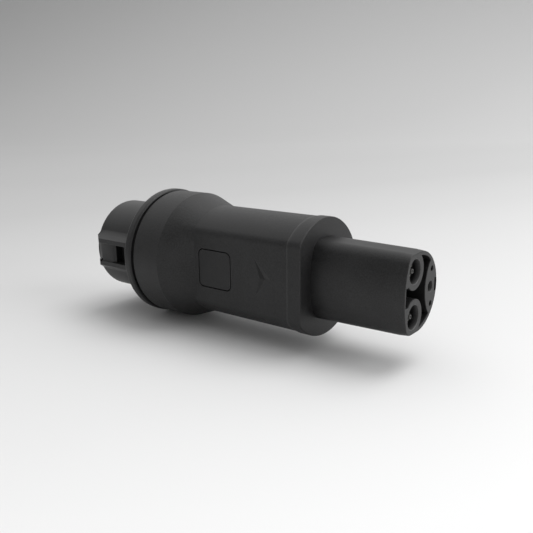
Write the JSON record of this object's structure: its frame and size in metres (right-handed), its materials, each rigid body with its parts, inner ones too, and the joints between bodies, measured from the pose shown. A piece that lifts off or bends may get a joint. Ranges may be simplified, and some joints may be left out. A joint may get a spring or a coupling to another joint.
{
  "type": "ev charging adapter",
  "caption": "Straight charging adapter: round inlet socket with a latch block, a grip with a flush button on its flat side, and a plug nose with socket contacts.",
  "frame": {"origin": "centre of the inlet socket's mouth, in the plane of its rim, on the socket's axis", "axes": "+X along the adapter from the socket's mouth to the plug nose's tip, +Z towards the latch block and the flat side with the button"},
  "size_m": [0.1884, 0.0702, 0.0702],
  "materials": {
    "socket_plastic": "fine moulded grain, matte black",
    "grip_plastic": "fine moulded grain, matte black",
    "nose_plastic": "smooth satin black",
    "inner_plastic": "plain moulded black",
    "guard_plastic": "plain moulded light grey",
    "gasket_rubber": "soft black",
    "contact_metal": "silver plated, turned",
    "conductor_metal": "bare copper",
    "screw_steel": "zinc plated",
    "board_green": "green solder mask"
  },
  "bodies": {
    "housing": {"socket_cup": "socket_plastic", "pin_carrier": "inner_plastic", "line_pin": "contact_metal", "neutral_pin": "contact_metal", "ground_pin": "contact_metal", "pilot_pin": "contact_metal", "proximity_pin": "contact_metal", "carrier_screws": "screw_steel", "flange_gasket": "gasket_rubber", "flange_screws": "screw_steel", "grip_shell": "grip_plastic", "button_spring": "screw_steel", "button_switch": "inner_plastic", "circuit_board": "board_green", "board_screws": "screw_steel", "board_resistors": "inner_plastic", "switch_leads": "conductor_metal", "line_conductor": "conductor_metal", "neutral_conductor": "conductor_metal", "ground_conductor": "conductor_metal", "pilot_conductor": "conductor_metal", "proximity_conductor": "conductor_metal", "conductor_spacer": "inner_plastic", "plug_nose": "nose_plastic", "line_contact": "contact_metal", "neutral_contact": "contact_metal", "ground_contact": "contact_metal", "pilot_contact": "contact_metal", "proximity_contact": "contact_metal", "line_guard": "guard_plastic", "neutral_guard": "guard_plastic", "contact_retainer": "inner_plastic", "retainer_screws": "screw_steel", "nose_gasket": "gasket_rubber", "nose_screws": "screw_steel", "collar_cap": "grip_plastic"},
    "button": {"button_cap": "grip_plastic"}
  },
  "joints": [
    {"name": "button_press", "type": "slide", "parent": "housing", "child": "button", "axis": [0, 0, -1], "range_m": [0, 0.0008], "stiffness_N_per_m": 400, "springref_m": -0.001, "deforming": ["button_spring"]}
  ]
}
